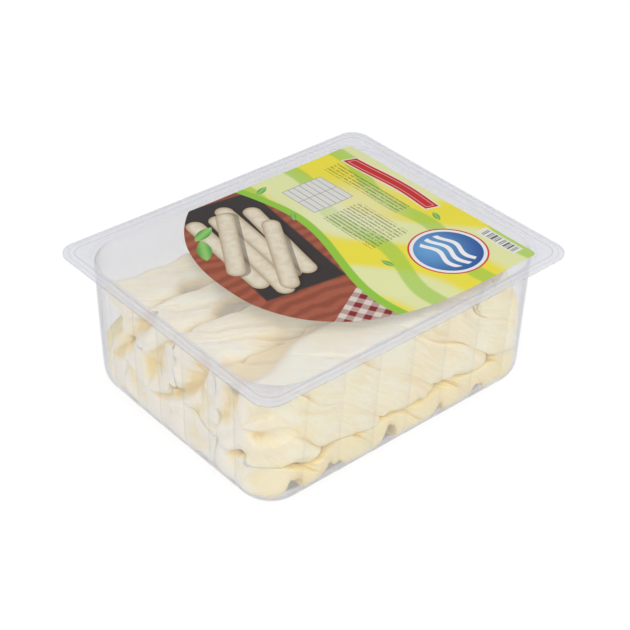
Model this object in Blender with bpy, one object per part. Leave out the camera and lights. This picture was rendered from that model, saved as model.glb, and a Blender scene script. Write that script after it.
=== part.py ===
"""A sealed clear tray of braided string cheese.

The tray is a thermoformed shell: a flat rim, walls that lean in a little, round corners and a
round foot. A thin film closes it. Inside lie eight thick braids in two layers, four below and
four above, pressed against each other and against the tray, with the back of the top layer
left empty. Metres, +Z up. The origin is the middle of the footprint, on the table; X runs along
the long side and -Y faces the front.
"""
import math

import bmesh
import bpy

# Driving dimensions -------------------------------------------------------------------------
RIM_LENGTH = 0.1860
RIM_WIDTH = 0.1505
RIM_HEIGHT = 0.0730
RIM_CORNER = 0.0096
SHEET = 0.0008          # plastic of the tray
RIM_SHELF = 0.0067      # from the rim's outer edge to the wall
LEAN = 0.035            # how far the wall comes in for each metre down
WALL_CORNER_TOP = 0.0225
WALL_CORNER_FOOT = 0.0180
FOOT_ROUND = 0.0135     # radius between wall and base
MOUTH_ROUND = 0.0012    # where the rim turns down into the wall

FILM = 0.0003
GAP = 0.0003            # kept between pieces that touch
FILM_INSET = 0.0004

CLEAR_WALL = 0.0006     # between cheese and tray
SEAM_GAP = 0.0002       # half of what is kept between two braids
LAYER_MIDDLE = 0.0330   # height where the two layers meet, at the middle of the tray
LAYER_RISE = 0.0105     # how far that drops to the front and rises to the back
LAYER_REACH = 0.035     # over this distance from the middle
LAYER_WAVE = 0.0011
SEAM_WAVE = 0.0011
TOP_OF_CHEESE = 0.0672

CORNER_STEPS = 6
FOOT_STEPS = 4
RING_POINTS = 20
RINGS = 23
END_ROUND = 0.012       # length over which a braid's end closes
BOXINESS = 2.5          # exponent of the braid's squashed oval section
BULGE = 1.12            # how far an unpressed braid would reach past its place
GROOVE = 0.28           # depth of the creases between strands, as a share of the radius
CREASE_EDGE = 1.3       # higher makes the creases narrower

# Where the braids of each layer meet, from the front to the back.
LOWER_SEAMS = (-0.0665, -0.0300, 0.0050, 0.0370, 0.0665)
UPPER_SEAMS = (-0.0675, -0.0315, -0.0005, 0.0215, 0.0475)

# Each braid: its two ends along X, its strands, the length of one full turn, its first angle.
LOWER_BRAIDS = (
    (-0.0800, 0.0790, 4, 0.116, 0.30),
    (-0.0805, 0.0770, 3, 0.118, 1.40),
    (-0.0805, 0.0795, 3, 0.110, 2.20),
    (-0.0780, 0.0780, 3, 0.121, 0.80),
)
UPPER_BRAIDS = (
    (-0.0838, 0.0755, 5, 0.175, 1.47),
    (-0.0838, 0.0800, 4, 0.250, 1.10),
    (-0.0838, 0.0790, 4, 0.230, 2.60),
    (-0.0800, 0.0770, 4, 0.240, 1.90),
)


# Shapes ------------------------------------------------------------------------------------
def round_rectangle(half_x, half_y, radius, height):
    """Points round a rectangle with round corners, anticlockwise, at one height."""
    points = []
    for sign_x, sign_y, start in ((1, 1, 0), (-1, 1, 90), (-1, -1, 180), (1, -1, 270)):
        for step in range(CORNER_STEPS + 1):
            angle = math.radians(start + 90 * step / CORNER_STEPS)
            x = sign_x * (half_x - radius) + radius * math.cos(angle)
            y = sign_y * (half_y - radius) + radius * math.sin(angle)
            points.append((x, y, height))
    return points


def wall_inset(height):
    """How far the outside of the wall lies inside the rim's edge at a height above the foot."""
    return RIM_SHELF + LEAN * (RIM_HEIGHT - height)


def wall_corner(height):
    """The wall's corner radius in plan, from the foot to the rim."""
    share = height / RIM_HEIGHT
    return WALL_CORNER_FOOT + (WALL_CORNER_TOP - WALL_CORNER_FOOT) * share


def wall_loop(height, inward=0.0, foot_in=0.0):
    """The wall's outline at a height, moved inward by the sheet and by the foot's rounding."""
    inset = wall_inset(height) + inward + foot_in
    radius = wall_corner(height) - inward - foot_in
    return round_rectangle(RIM_LENGTH / 2 - inset, RIM_WIDTH / 2 - inset, radius, height)


def foot_loops(inward):
    """The rounded foot from the base up to the wall, outside or inside the sheet."""
    radius = FOOT_ROUND - inward
    loops = []
    for step in range(FOOT_STEPS + 1):
        angle = math.radians(90 * step / FOOT_STEPS)
        height = inward + radius * (1 - math.cos(angle))
        loops.append(wall_loop(height, inward, radius * (1 - math.sin(angle))))
    return loops


def room_beside(x, height):
    """Half the width that the tray's walls leave free for cheese, at a place along X and a height."""
    inset = wall_inset(height) + SHEET + CLEAR_WALL
    radius = wall_corner(height) - SHEET - CLEAR_WALL
    half_x = RIM_LENGTH / 2 - inset
    half_y = RIM_WIDTH / 2 - inset
    past_corner = abs(x) - (half_x - radius)
    if past_corner <= 0:
        return half_y
    past_corner = min(past_corner, radius)
    return half_y - radius + math.sqrt(radius ** 2 - past_corner ** 2)


def free_floor(x, y):
    """The lowest that cheese may lie: on the base, or higher where the rounded foot rises."""
    inset = wall_inset(FOOT_ROUND) + SHEET + CLEAR_WALL
    corner = wall_corner(FOOT_ROUND) - SHEET - CLEAR_WALL
    past_x = abs(x) - (RIM_LENGTH / 2 - inset - corner)
    past_y = abs(y) - (RIM_WIDTH / 2 - inset - corner)
    outward = math.hypot(max(past_x, 0.0), max(past_y, 0.0)) + min(max(past_x, past_y), 0.0)
    from_wall = max(corner - outward, 0.0)
    base = SHEET + CLEAR_WALL
    radius = FOOT_ROUND - base
    if from_wall >= radius:
        return base
    return base + radius - math.sqrt(radius ** 2 - (radius - from_wall) ** 2)


def loft(bm, loops):
    """Skins a list of closed loops of equal length and returns their vertices."""
    rows = [[bm.verts.new(point) for point in loop] for loop in loops]
    for low, high in zip(rows, rows[1:]):
        count = len(low)
        for i in range(count):
            j = (i + 1) % count
            bm.faces.new((low[i], low[j], high[j], high[i]))
    return rows


def finished(name, bm, material, parent, place=(0, 0, 0), smooth_below=35):
    """Turns a bmesh into a smooth shaded object with its material, at its place."""
    bmesh.ops.recalc_face_normals(bm, faces=bm.faces[:])
    mesh = bpy.data.meshes.new(name)
    bm.to_mesh(mesh)
    bm.free()
    mesh.shade_smooth()
    mesh.set_sharp_from_angle(angle=math.radians(smooth_below))
    mesh.materials.append(material)
    piece = bpy.data.objects.new(name, mesh)
    piece.location = place
    piece.parent = parent
    bpy.context.scene.collection.objects.link(piece)
    return piece


def finish(name, colour, roughness, metallic=0.0, clear=0.0):
    """A Principled material; clear is how much light passes straight through."""
    material = bpy.data.materials.new(name)
    material.use_nodes = True
    shader = material.node_tree.nodes["Principled BSDF"]
    shader.inputs["Base Color"].default_value = (*colour, 1.0)
    shader.inputs["Roughness"].default_value = roughness
    shader.inputs["Metallic"].default_value = metallic
    shader.inputs["Alpha"].default_value = 1.0 - clear
    return material


# Pieces ------------------------------------------------------------------------------------
def make_tray(parent):
    """The open shell: base, rounded foot, leaning wall and flat rim, in one sheet."""
    under_rim = RIM_HEIGHT - SHEET
    half_x, half_y = RIM_LENGTH / 2, RIM_WIDTH / 2
    mouth = RIM_SHELF + SHEET
    outside = foot_loops(0.0)
    outside.append(wall_loop(under_rim))
    rim = [
        round_rectangle(half_x, half_y, RIM_CORNER, under_rim),
        round_rectangle(half_x, half_y, RIM_CORNER, RIM_HEIGHT),
    ]
    turn_start = mouth - MOUTH_ROUND
    rim.append(round_rectangle(half_x - turn_start, half_y - turn_start,
                               WALL_CORNER_TOP - SHEET + MOUTH_ROUND, RIM_HEIGHT))
    half_turn = MOUTH_ROUND * (1 - math.sqrt(0.5))
    rim.append(round_rectangle(half_x - mouth + half_turn, half_y - mouth + half_turn,
                               WALL_CORNER_TOP - SHEET + half_turn, RIM_HEIGHT - half_turn))
    inside = [wall_loop(RIM_HEIGHT - MOUTH_ROUND, SHEET)]
    inside += reversed(foot_loops(SHEET))
    bm = bmesh.new()
    rows = loft(bm, outside + rim + inside)
    bm.faces.new(rows[0])
    bm.faces.new(rows[-1])
    material = finish("clear_tray", (0.86, 0.87, 0.89), 0.12, clear=0.7)
    return finished("tray", bm, material, parent)


def make_film(parent):
    """The closing film, a thin flat sheet that lies on the whole rim."""
    low = RIM_HEIGHT + GAP
    half_x = RIM_LENGTH / 2 - FILM_INSET
    half_y = RIM_WIDTH / 2 - FILM_INSET
    corner = RIM_CORNER - FILM_INSET
    bm = bmesh.new()
    rows = loft(bm, [round_rectangle(half_x, half_y, corner, height) for height in (low, low + FILM)])
    bm.faces.new(rows[0])
    bm.faces.new(rows[-1])
    material = finish("printed_film", (0.78, 0.85, 0.35), 0.2)
    return finished("film", bm, material, parent)


def layer_height(x, y):
    """The gently waving level where the lower layer's tops meet the upper layer."""
    wave = LAYER_WAVE * math.sin(2 * math.pi * x / 0.105 + y / 0.03)
    return LAYER_MIDDLE + LAYER_RISE * math.tanh(y / LAYER_REACH) + wave


def seam_side(place, index, x):
    """Where two neighbours in a layer meet, which wanders a little along the tray."""
    return place + SEAM_WAVE * math.sin(2 * math.pi * x / 0.090 + 1.7 * index + 0.5)


def end_share(x, start, stop):
    """How full the braid is at x, from a small blunt tip to 1 along its length."""
    to_end = min(x - start, stop - x)
    if to_end >= END_ROUND:
        return 1.0
    missing = 1 - to_end / END_ROUND
    return 0.32 + 0.68 * math.sqrt(max(1 - missing ** 2, 0.0))


def braid_ring(x, start, stop, strands, turn, first, seams, floor, ceiling, index):
    """One ring of the braid: a squashed oval with creases, pressed into its place."""
    front = seam_side(seams[0], index, x) + SEAM_GAP
    back = seam_side(seams[1], index + 1, x) - SEAM_GAP
    middle = (front + back) / 2
    low, high = floor(x, middle), ceiling(x, middle)
    centre_z = (low + high) / 2
    half_y = (back - front) / 2 * BULGE
    half_z = (high - low) / 2 * BULGE
    full = end_share(x, start, stop)
    ring = []
    for step in range(RING_POINTS):
        angle = 2 * math.pi * step / RING_POINTS
        across, up = math.cos(angle), math.sin(angle)
        reach = (abs(across / half_y) ** BOXINESS + abs(up / half_z) ** BOXINESS) ** (-1 / BOXINESS)
        place = angle - 2 * math.pi * x / turn - first
        crease = (1 - abs(math.cos(strands * place / 2))) ** CREASE_EDGE
        reach *= full * (1 - GROOVE * crease)
        y = middle + reach * across
        z = centre_z + reach * up
        room = room_beside(x, z)
        y = min(max(y, front, -room), back, room)
        z = min(max(z, floor(x, y)), ceiling(x, y))
        ring.append((x, y, z))
    return ring


def make_braid(name, spec, seams, floor, ceiling, index, material, parent):
    """One braid: rings from end to end, closer together at the ends, with a point at each tip."""
    start, stop, strands, turn, first = spec
    middle = ((start + stop) / 2, sum(seams) / 2, 0.0)
    rings = []
    for step in range(RINGS):
        share = 0.5 - 0.5 * math.cos(math.pi * step / (RINGS - 1))
        share = 0.35 * share + 0.65 * step / (RINGS - 1)
        x = start + (stop - start) * share
        ring = braid_ring(x, start, stop, strands, turn, first, seams, floor, ceiling, index)
        rings.append([(px - middle[0], py - middle[1], pz) for px, py, pz in ring])
    bm = bmesh.new()
    rows = loft(bm, rings)
    for row in (rows[0], rows[-1]):
        bm.faces.new(row)
    return finished(name, bm, material, parent, middle, smooth_below=60)


def make_layer(label, specs, seams, floor, ceiling, material, parent):
    """Four braids side by side."""
    for index, spec in enumerate(specs):
        sides = (seams[index], seams[index + 1])
        make_braid(f"braid_{label}_{index + 1}", spec, sides, floor, ceiling, index, material, parent)


def main():
    for old in list(bpy.data.objects):
        bpy.data.objects.remove(old)
    pack = bpy.data.objects.new("pack", None)
    bpy.context.scene.collection.objects.link(pack)
    make_tray(pack)
    make_film(pack)
    cheese = finish("fresh_cheese", (0.88, 0.82, 0.66), 0.5)
    make_layer("lower", LOWER_BRAIDS, LOWER_SEAMS,
               free_floor,
               lambda x, y: layer_height(x, y) - SEAM_GAP,
               cheese, pack)
    make_layer("upper", UPPER_BRAIDS, UPPER_SEAMS,
               lambda x, y: layer_height(x, y) + SEAM_GAP,
               lambda x, y: TOP_OF_CHEESE,
               cheese, pack)


main()
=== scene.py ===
# %% [markdown]
# # A sealed tray of braided string cheese
# A clear thermoformed tray holds eight thick ropes of pulled cheese, and a thin film with a
# printed panel closes it. Everything here is built around solids that are already at their real
# size and place, so each step reads its measures from them. The steps are: view and light, a
# small language for materials, the tray, the film and its print, the cheese, and the hand-over.

# %% Load the solids
import math
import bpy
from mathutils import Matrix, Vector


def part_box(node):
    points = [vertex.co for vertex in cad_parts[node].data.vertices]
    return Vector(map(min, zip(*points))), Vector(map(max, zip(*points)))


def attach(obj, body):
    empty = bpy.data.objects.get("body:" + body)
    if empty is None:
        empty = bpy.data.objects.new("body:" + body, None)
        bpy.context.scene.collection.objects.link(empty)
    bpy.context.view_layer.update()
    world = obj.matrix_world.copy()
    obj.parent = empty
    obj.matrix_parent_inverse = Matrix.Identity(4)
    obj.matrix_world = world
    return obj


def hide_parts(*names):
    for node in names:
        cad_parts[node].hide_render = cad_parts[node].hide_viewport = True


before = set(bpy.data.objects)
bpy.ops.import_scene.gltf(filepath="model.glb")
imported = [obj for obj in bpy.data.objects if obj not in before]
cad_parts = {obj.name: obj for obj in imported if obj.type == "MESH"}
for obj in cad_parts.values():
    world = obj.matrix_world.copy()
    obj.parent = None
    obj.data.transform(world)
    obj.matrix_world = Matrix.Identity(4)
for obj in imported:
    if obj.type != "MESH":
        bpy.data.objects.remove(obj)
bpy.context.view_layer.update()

from types import SimpleNamespace

import bmesh
import bpy
import numpy as np
from mathutils import Matrix, Vector

MM = 0.001
print("solids:", ", ".join(sorted(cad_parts)))

# %% [markdown]
# ## View and light
# The pack is seen from its front left corner, from well above, with a long lens, so that its
# edges stay nearly parallel. The eye's place is easier to read as a compass turn, a height
# angle and a distance than as three coordinates, so the camera is worked out from those.

# %% Camera
LOOK_AT = Vector((-0.0009, -0.0023, 0.0393))
TURN = math.radians(-42.83)     # from straight in front, towards the left end
HEIGHT_ANGLE = math.radians(35.60)
DISTANCE = 0.7618
LEAN_OF_CAMERA = math.radians(2.607)
LENS = 92.66


def place_camera():
    """A camera that looks at the pack from an angle, tilted a little about its own axis."""
    back = Vector((math.sin(TURN) * math.cos(HEIGHT_ANGLE),
                   -math.cos(TURN) * math.cos(HEIGHT_ANGLE),
                   math.sin(HEIGHT_ANGLE)))
    right = Vector((math.cos(TURN), math.sin(TURN), 0))
    up = back.cross(right)
    right_leaning = right * math.cos(LEAN_OF_CAMERA) + up * math.sin(LEAN_OF_CAMERA)
    up_leaning = up * math.cos(LEAN_OF_CAMERA) - right * math.sin(LEAN_OF_CAMERA)
    camera = bpy.data.objects.new("view", bpy.data.cameras.new("view"))
    camera.data.lens = LENS
    camera.data.clip_start = 0.01
    axes = Matrix((right_leaning, up_leaning, back)).transposed()
    camera.matrix_world = Matrix.Translation(LOOK_AT + back * DISTANCE) @ axes.to_4x4()
    bpy.context.scene.collection.objects.link(camera)
    bpy.context.scene.camera = camera
    return camera


camera = place_camera()
print("camera at", [round(v, 3) for v in camera.location])

# %% [markdown]
# Clear plastic and pale cheese show their shape by soft reflections, so the light is a wide
# panel overhead, one at each side and an even white surround. The colours are shown as they are,
# without a film-like curve, because the cheese has to stay a clean cream. A ray passes many thin
# clear skins on its way in and out, so it may cross more of them than usual before it ends.

# %% Light
bpy.context.scene.view_settings.view_transform = "Standard"
bpy.context.scene.cycles.transparent_max_bounces = 24
SURROUND = 0.50


def soft_panel(name, place, size, watts, aim=(0, 0, 0.03)):
    """A square lamp at a place, turned towards the pack."""
    lamp = bpy.data.lights.new(name, "AREA")
    lamp.shape = "SQUARE"
    lamp.size = size
    lamp.energy = watts
    panel = bpy.data.objects.new(name, lamp)
    panel.location = place
    panel.rotation_euler = (Vector(place) - Vector(aim)).to_track_quat("Z", "Y").to_euler()
    bpy.context.scene.collection.objects.link(panel)
    return panel


world = bpy.data.worlds.new("studio")
world.use_nodes = True
world.node_tree.nodes["Background"].inputs["Color"].default_value = (1, 1, 1, 1)
world.node_tree.nodes["Background"].inputs["Strength"].default_value = SURROUND
bpy.context.scene.world = world
lamps = [
    soft_panel("light_above", (-0.28, -0.34, 1.05), 0.9, 7.5),
    soft_panel("light_left", (-1.0, -0.35, 0.6), 0.7, 7.0),
    soft_panel("light_right", (0.7, -1.0, 0.6), 0.7, 8.4),
]
print("lamps:", ", ".join(lamp.name for lamp in lamps))

# %% [markdown]
# ## A small language for materials
# A material is a net of nodes. Written out one by one, the nodes hide the idea, so a value in
# the net is wrapped in a small class: arithmetic on it adds the Math nodes. Each operator also
# has its reflected form, so that 1 - mask works as well as mask - 1.

# %% Expressions for shader values
class Wire:
    """One output in a material's net. Arithmetic on it adds nodes and gives a new one."""

    def __init__(self, net, socket):
        self.net = net
        self.socket = socket

    def maths(self, operation, *values):
        return self.net.node("ShaderNodeMath", {"operation": operation}, dict(enumerate(values)))

    def __add__(self, other):
        return self.maths("ADD", self, other)

    def __sub__(self, other):
        return self.maths("SUBTRACT", self, other)

    def __rsub__(self, other):
        return self.maths("SUBTRACT", other, self)

    def __mul__(self, other):
        return self.maths("MULTIPLY", self, other)

    def __truediv__(self, other):
        return self.maths("DIVIDE", self, other)

    def __rtruediv__(self, other):
        return self.maths("DIVIDE", other, self)

    def __pow__(self, other):
        return self.maths("POWER", self, other)

    def __rpow__(self, other):
        return self.maths("POWER", other, self)

    def __abs__(self):
        return self.maths("ABSOLUTE", self)

    __radd__ = __add__
    __rmul__ = __mul__

    def sine(self):
        return self.maths("SINE", self)

    def root(self):
        return self.maths("SQRT", self)

    def least(self, other):
        return self.maths("MINIMUM", self, other)

    def most(self, other):
        return self.maths("MAXIMUM", self, other)

    def repeated(self, length):
        """Distance from the nearest multiple of a length."""
        return self.maths("PINGPONG", self, length / 2)

    def step(self, start, end):
        """0 before start, 1 after end, smooth between them; start may be the larger."""
        low, high = min(start, end), max(start, end)
        rising = start < end
        inputs = {"Value": self, "From Min": low, "From Max": high,
                  "To Min": 0.0 if rising else 1.0, "To Max": 1.0 if rising else 0.0}
        return self.net.node("ShaderNodeMapRange", {"interpolation_type": "SMOOTHSTEP"}, inputs)


print("reflected operators:", ", ".join(name for name in vars(Wire) if name.startswith("__r")))

# %% [markdown]
# Everything that is not arithmetic comes from one method, which takes a node's type, its settings
# and the values or links of its sockets. Settings go first, as a node's sockets can depend on
# them. A Math node would turn a colour grey, so two colours are blended by a Mix node instead.

# %% A material's net
class Net:
    """The node net of one new material."""

    def __init__(self, name):
        self.material = bpy.data.materials.new(name)
        self.material.use_nodes = True
        self.tree = self.material.node_tree
        self.tree.nodes.clear()

    def node(self, kind, settings=None, inputs=None, output=0):
        """Adds a node: its settings first, then the values or links of its sockets."""
        made = self.tree.nodes.new(kind)
        for key, value in (settings or {}).items():
            setattr(made, key, value)
        for key, value in (inputs or {}).items():
            if isinstance(value, Wire):
                self.tree.links.new(value.socket, made.inputs[key])
            else:
                made.inputs[key].default_value = value
        return Wire(self, made.outputs[output] if len(made.outputs) else None)

    def blend(self, share, first, second):
        """A colour between two colours."""
        inputs = {0: share, 6: whole(first), 7: whole(second)}
        return self.node("ShaderNodeMix", {"data_type": "RGBA"}, inputs, output=2)

    def mix(self, share, first, second):
        """A surface between two surfaces."""
        return self.node("ShaderNodeMixShader", {}, {0: share, 1: first, 2: second})

    def noise(self, at, scale, detail=2.0, rough=0.5):
        inputs = {"Vector": at, "Scale": scale, "Detail": detail, "Roughness": rough}
        return self.node("ShaderNodeTexNoise", {"noise_dimensions": "3D"}, inputs)

    def place(self):
        """Where a point is on the object, in metres."""
        return self.node("ShaderNodeTexCoord", output=3)

    def parts(self, vector):
        """The three numbers of a vector."""
        split = self.node("ShaderNodeSeparateXYZ", {}, {0: vector}).socket.node
        return [Wire(self, socket) for socket in split.outputs]

    def bump(self, height, depth, strength):
        """A bent normal from a height field; depth is its size in metres."""
        inputs = {"Height": height, "Distance": depth, "Strength": strength}
        return self.node("ShaderNodeBump", {}, inputs)

    def finish(self, surface):
        self.node("ShaderNodeOutputMaterial", {}, {"Surface": surface})
        return self.material


def whole(colour):
    """A colour with its fourth number, unless it is already a link."""
    return colour if isinstance(colour, Wire) else (*colour, 1.0)


def shade(red, green, blue):
    """A colour given as screen values from 0 to 255, turned into light values."""
    def light(value):
        value = value / 255
        return value / 12.92 if value <= 0.04045 else ((value + 0.055) / 1.055) ** 2.4
    return (light(red), light(green), light(blue))


print("cream as light values:", [round(v, 3) for v in shade(240, 230, 205)])

# %% [markdown]
# ## The tray
# The real tray starts as a flat sheet of clear plastic that is sucked into a mould. That is also
# the simplest way to model it: one skin, described by a profile from the rim's edge to the
# middle of the base, and then given its thickness. The rim has a rolled edge and a shallow step
# just inside the seal, and the walls carry faint upright flutes that keep them stiff.

# %% Sizes of the tray
_, tray_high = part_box("tray")
HALF_X = tray_high.x
HALF_Y = tray_high.y
RIM_TOP = tray_high.z
SHEET = 0.5 * MM
RIM_CORNER = 9.6 * MM
SHELF = 6.7 * MM                # from the rim's edge to the wall
LEAN = 0.035                    # how far the wall comes in for each metre down
CORNER_TOP = 22.5 * MM
CORNER_FOOT = 18.0 * MM
FOOT_ROUND = 13.5 * MM
FLUTE_DEPTH = 0.33 * MM
FLUTE_HALF = 1.6 * MM
FLUTE_GAP_LONG = 20.8 * MM
FLUTE_GAP_SHORT = 17.8 * MM
FLUTES_LONG = 7
FLUTES_SHORT = 6
print("rim in mm:", round(2 * HALF_X / MM, 1), "by", round(2 * HALF_Y / MM, 1))

# %% [markdown]
# Seen from above, every level of the tray is a rounded rectangle. The flutes are narrow, so the
# points along a side stand close together across each flute and far apart between, which keeps
# the mesh small. Every level has the same number of points, so that levels join row to row.

# %% Outlines with places for the flutes
def flute_places(gap, count):
    """Places along one side: points close together across each flute, for count flutes."""
    across = (-1.0, -0.62, -0.3, 0.0, 0.3, 0.62, 1.0)
    middles = [(k - (count - 1) / 2) * gap for k in range(count)]
    return [middle + share * FLUTE_HALF for middle in middles for share in across]


LONG_SIDE = flute_places(FLUTE_GAP_LONG, FLUTES_LONG)
SHORT_SIDE = flute_places(FLUTE_GAP_SHORT, FLUTES_SHORT)
CORNER_POINTS = 14


def flute_share(along, gap, count):
    """1 in the middle of a flute, 0 outside the flutes."""
    offset = (along / gap - (count - 1) / 2) % 1.0
    offset = min(offset, 1 - offset) * gap / FLUTE_HALF
    return (1 - offset ** 2) ** 2 if offset < 1 else 0.0


def side_points(along, distance, straight, gap, count, turn):
    """Points on one straight side, each with its outward direction and its share of a flute.

    They are drawn together a little where the last flute would pass the start of the corner.
    """
    cos, sin = math.cos(turn), math.sin(turn)
    squeeze = min(1.0, (straight - 0.05 * MM) / along[-1])
    for place in along:
        x, y = place * squeeze, -distance
        point = (x * cos - y * sin, x * sin + y * cos)
        yield point, (sin, -cos), flute_share(place, gap, count)


def corner_points(middle_x, middle_y, radius, start):
    """Points round one corner, with both its ends, each with its outward direction."""
    for step in range(CORNER_POINTS + 1):
        angle = start + math.pi / 2 * step / CORNER_POINTS
        out = (math.cos(angle), math.sin(angle))
        yield (middle_x + radius * out[0], middle_y + radius * out[1]), out, 0.0


def outline(half_x, half_y, radius):
    """A rounded rectangle, anticlockwise: three arrays with points, directions and flutes."""
    rows = []
    in_x, in_y = half_x - radius, half_y - radius
    quarter = math.pi / 2
    long_side = (LONG_SIDE, half_y, in_x, FLUTE_GAP_LONG, FLUTES_LONG)
    short_side = (SHORT_SIDE, half_x, in_y, FLUTE_GAP_SHORT, FLUTES_SHORT)
    corners = ((in_x, -in_y), (in_x, in_y), (-in_x, in_y), (-in_x, -in_y))
    for number, (x, y) in enumerate(corners):
        rows += side_points(*(short_side if number % 2 else long_side), number * quarter)
        rows += corner_points(x, y, radius, (number - 1) * quarter)
    points, outward, flutes = zip(*rows)
    return np.array(points), np.array(outward), np.array(flutes)


POINTS_ROUND = len(outline(HALF_X, HALF_Y, RIM_CORNER)[0])
print("points round the tray:", POINTS_ROUND)

# %% [markdown]
# A rim this wide and thin never stays flat. It was cooled with one end corner a little raised
# and the others a little low, and its long edges sag between the corners. The same small bend
# moves the rim, the film and the print, so it is one function of the place.

# %% How the rim bends
RIM_LIFT = 1.0 * MM
RIM_SAG = 0.5 * MM
CORNER_LEAN = 1.1 * MM
CORNER_TUCK = 2.2 * MM


def rim_bend(x, y):
    """Height of the warped rim over a flat one, at a place or at arrays of places."""
    along, across = x / HALF_X, y / HALF_Y
    lift = RIM_LIFT * np.clip((along - across) / 2, 0, 1) ** 2
    edge = np.clip(np.abs(across), 0, 1) ** 4
    sag = -RIM_SAG * (1 - np.clip(np.abs(along), 0, 1) ** 2) * edge
    return lift + sag


def corner_lean(x, y, height):
    """One corner's wall stands a little steeper, and the opposite corner's foot is rounder."""
    share = np.clip(height / RIM_TOP, 0, 1)
    near = np.clip((x / HALF_X - y / HALF_Y) / 1.8, 0, 1) ** 6
    opposite = np.clip((y / HALF_Y - x / HALF_X) / 1.8, 0, 1) ** 6
    move = CORNER_LEAN * near * (1 - 2 * share) + CORNER_TUCK * opposite * (1 - share) ** 2
    return x + move * math.sqrt(0.5), y - move * math.sqrt(0.5)


print("rim bend in mm at the right front corner:", round(float(rim_bend(HALF_X, -HALF_Y)) / MM, 2))

# %% [markdown]
# The profile runs from the cut edge over the rolled lip, across the seal and its shallow step,
# down the leaning wall, round the foot and over the slightly raised base. Each row of it says
# how far in it lies, how high, how round its corners are and how deep the flutes are there.

# %% The tray's profile
def ease(value, start, end):
    """0 at start, 1 at end, smooth between, for numbers and arrays."""
    share = np.clip((value - start) / (end - start), 0, 1)
    return share * share * (3 - 2 * share)


def wall_corner(height):
    """Radius of the wall's corners at a height, smaller towards the foot."""
    return CORNER_FOOT + (CORNER_TOP - CORNER_FOOT) * height / RIM_TOP


def tray_profile():
    """Rows of inset, height, corner radius and depth of flute, from the rim's edge inward."""
    step_in = 5.4 * MM
    turn_in = SHELF + 0.2 * MM
    rows = [(0.30 * MM, RIM_TOP - 0.45 * MM, RIM_CORNER, 0),
            (0.34 * MM, RIM_TOP - 0.22 * MM, RIM_CORNER, 0),
            (0.50 * MM, RIM_TOP - 0.06 * MM, RIM_CORNER, 0),
            (0.80 * MM, RIM_TOP, RIM_CORNER, 0)]
    for share in (0.3, 0.6, 0.85, 1.0):
        inset = 0.8 * MM + (step_in - 0.8 * MM) * share
        corner = RIM_CORNER + (CORNER_TOP - RIM_CORNER) * share ** 2
        rows.append((inset, RIM_TOP, corner, 0))
    rows += [(step_in + 0.3 * MM, RIM_TOP - 0.15 * MM, CORNER_TOP, 0),
             (step_in + 0.5 * MM, RIM_TOP - 0.45 * MM, CORNER_TOP, 0),
             (step_in + 0.8 * MM, RIM_TOP - 0.6 * MM, CORNER_TOP, 0),
             (turn_in + 0.1 * MM, RIM_TOP - 0.7 * MM, CORNER_TOP - 0.4 * MM, 0)]
    for angle in (25, 50, 75):
        turn = math.radians(angle)
        rows.append((turn_in + (0.1 + 0.9 * math.sin(turn)) * MM,
                     RIM_TOP - (0.7 + 0.9 * (1 - math.cos(turn))) * MM, CORNER_TOP - 0.6 * MM, 0))
    wall_top, wall_foot = RIM_TOP - 2.2 * MM, FOOT_ROUND
    for share in (0, 0.03, 0.07, 0.12, 0.2, 0.35, 0.5, 0.65, 0.8, 0.9, 0.96, 1.0):
        height = wall_top + (wall_foot - wall_top) * share
        inset = SHELF + SHEET + LEAN * (RIM_TOP - height)
        flute = FLUTE_DEPTH * ease(share, 0.02, 0.12)
        rows.append((inset, height, wall_corner(height) - SHEET, flute))
    radius = FOOT_ROUND - SHEET
    for angle in range(10, 91, 8):
        turn = math.radians(angle)
        drop = radius * math.sin(turn)
        tuck = radius * (1 - math.cos(turn))
        height = FOOT_ROUND - drop
        inset = SHELF + SHEET + LEAN * (RIM_TOP - height) + tuck
        flute = FLUTE_DEPTH * (1 - ease(angle, 5, 60))
        rows.append((inset, height, wall_corner(height) - SHEET - tuck, flute))
    floor_in = rows[-1][0]
    for further, height in ((3, 0.5), (5, 0.7), (6, 1.1), (7, 1.4), (9, 1.5), (20, 1.5), (35, 1.5)):
        rows.append((floor_in + further * MM, height * MM, max(rows[-1][2] - 1 * MM, 3 * MM), 0))
    return rows


print("rows in the tray's profile:", len(tray_profile()))

# %% [markdown]
# The rows become rings of points, neighbouring rings are joined by faces, and the last ring is
# filled. The sheet's thickness comes from a Solidify modifier, as the tray really is one sheet of
# about even thickness, and it keeps the code to a single skin.

# %% The tray's skin
CUT_ROWS = 2                     # rows of faces at the cut edge
SEAL_ROWS = 14                   # and from there to where the rim turns down into the wall
SEAL_LINES = (8, 12)             # narrow rows inside the seal that show as thin lines


def ring_mesh(name, rings):
    """A smooth mesh from rings of equal length, with the last ring filled."""
    count = len(rings[0])
    here = np.arange(count)
    after = np.roll(here, -1)
    faces = []
    for row in range(len(rings) - 1):
        low = row * count
        high = low + count
        faces += np.stack((here + low, here + high, after + high, after + low), axis=1).tolist()
    faces.append((here + (len(rings) - 1) * count).tolist())
    mesh = bpy.data.meshes.new(name)
    mesh.from_pydata(np.concatenate(rings).tolist(), [], faces)
    mesh.validate()
    mesh.shade_smooth()
    piece = bpy.data.objects.new(name, mesh)
    bpy.context.scene.collection.objects.link(piece)
    return piece


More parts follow.
